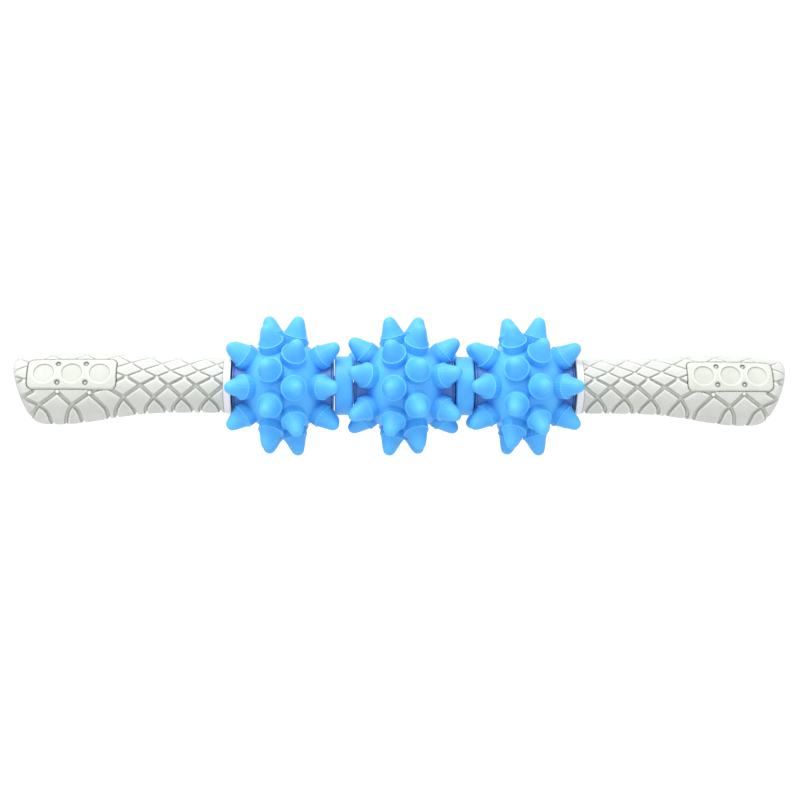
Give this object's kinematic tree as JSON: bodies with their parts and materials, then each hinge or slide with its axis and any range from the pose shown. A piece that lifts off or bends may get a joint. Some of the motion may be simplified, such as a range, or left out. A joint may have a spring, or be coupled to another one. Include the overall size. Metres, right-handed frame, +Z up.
{
  "type": "massage roller stick",
  "caption": "Hand-held massage stick: free-spinning spiked rollers and loose collars on a steel tube between two contoured soft grips with thumb plates.",
  "frame": {"origin": "centre of the middle roller on the tube's axis", "axes": "+X along the stick, +Y away from the side with the thumb plates, +Z up; the grips' heavy bellies hang towards -Z"},
  "size_m": [0.3852, 0.07, 0.0694],
  "materials": {
    "steel_tube": "drawn",
    "core_plastic": "moulded off-white",
    "grip_rubber": "matt, scale-pattern relief",
    "plate_rubber": "matt, dimpled",
    "plug_steel": "turned",
    "screw_steel": "zinc-plated",
    "roller_skin": "satin sky-blue",
    "roller_core": "moulded blue",
    "bush_plastic": "natural white",
    "collar_plastic": "satin sky-blue"
  },
  "bodies": {
    "stick": {"shaft_tube": "steel_tube", "left_handle_core": "core_plastic", "left_grip": "grip_rubber", "left_thumb_plate": "plate_rubber", "left_threaded_plug": "plug_steel", "left_screw_washer": "screw_steel", "left_end_screw": "screw_steel", "right_handle_core": "core_plastic", "right_grip": "grip_rubber", "right_thumb_plate": "plate_rubber", "right_threaded_plug": "plug_steel", "right_screw_washer": "screw_steel", "right_end_screw": "screw_steel"},
    "left_roller": {"left_roller_skin": "roller_skin", "left_roller_core_left": "roller_core", "left_roller_core_right": "roller_core", "left_roller_bush_left": "bush_plastic", "left_roller_bush_right": "bush_plastic"},
    "middle_roller": {"middle_roller_skin": "roller_skin", "middle_roller_core_left": "roller_core", "middle_roller_core_right": "roller_core", "middle_roller_bush_left": "bush_plastic", "middle_roller_bush_right": "bush_plastic"},
    "right_roller": {"right_roller_skin": "roller_skin", "right_roller_core_left": "roller_core", "right_roller_core_right": "roller_core", "right_roller_bush_left": "bush_plastic", "right_roller_bush_right": "bush_plastic"},
    "left_collar": {"left_collar": "collar_plastic"},
    "right_collar": {"right_collar": "collar_plastic"}
  },
  "joints": [
    {"name": "left_roller_spin", "type": "hinge", "parent": "stick", "child": "left_roller", "pos_m": [-0.06005, 0, 0], "axis": [1, 0, 0], "continuous": true},
    {"name": "middle_roller_spin", "type": "hinge", "parent": "stick", "child": "middle_roller", "pos_m": [0, 0, 0], "axis": [1, 0, 0], "continuous": true},
    {"name": "right_roller_spin", "type": "hinge", "parent": "stick", "child": "right_roller", "pos_m": [0.06005, 0, 0], "axis": [1, 0, 0], "continuous": true},
    {"name": "left_collar_spin", "type": "hinge", "parent": "stick", "child": "left_collar", "pos_m": [-0.03003, 0, 0], "axis": [1, 0, 0], "continuous": true},
    {"name": "right_collar_spin", "type": "hinge", "parent": "stick", "child": "right_collar", "pos_m": [0.03003, 0, 0], "axis": [1, 0, 0], "continuous": true}
  ]
}
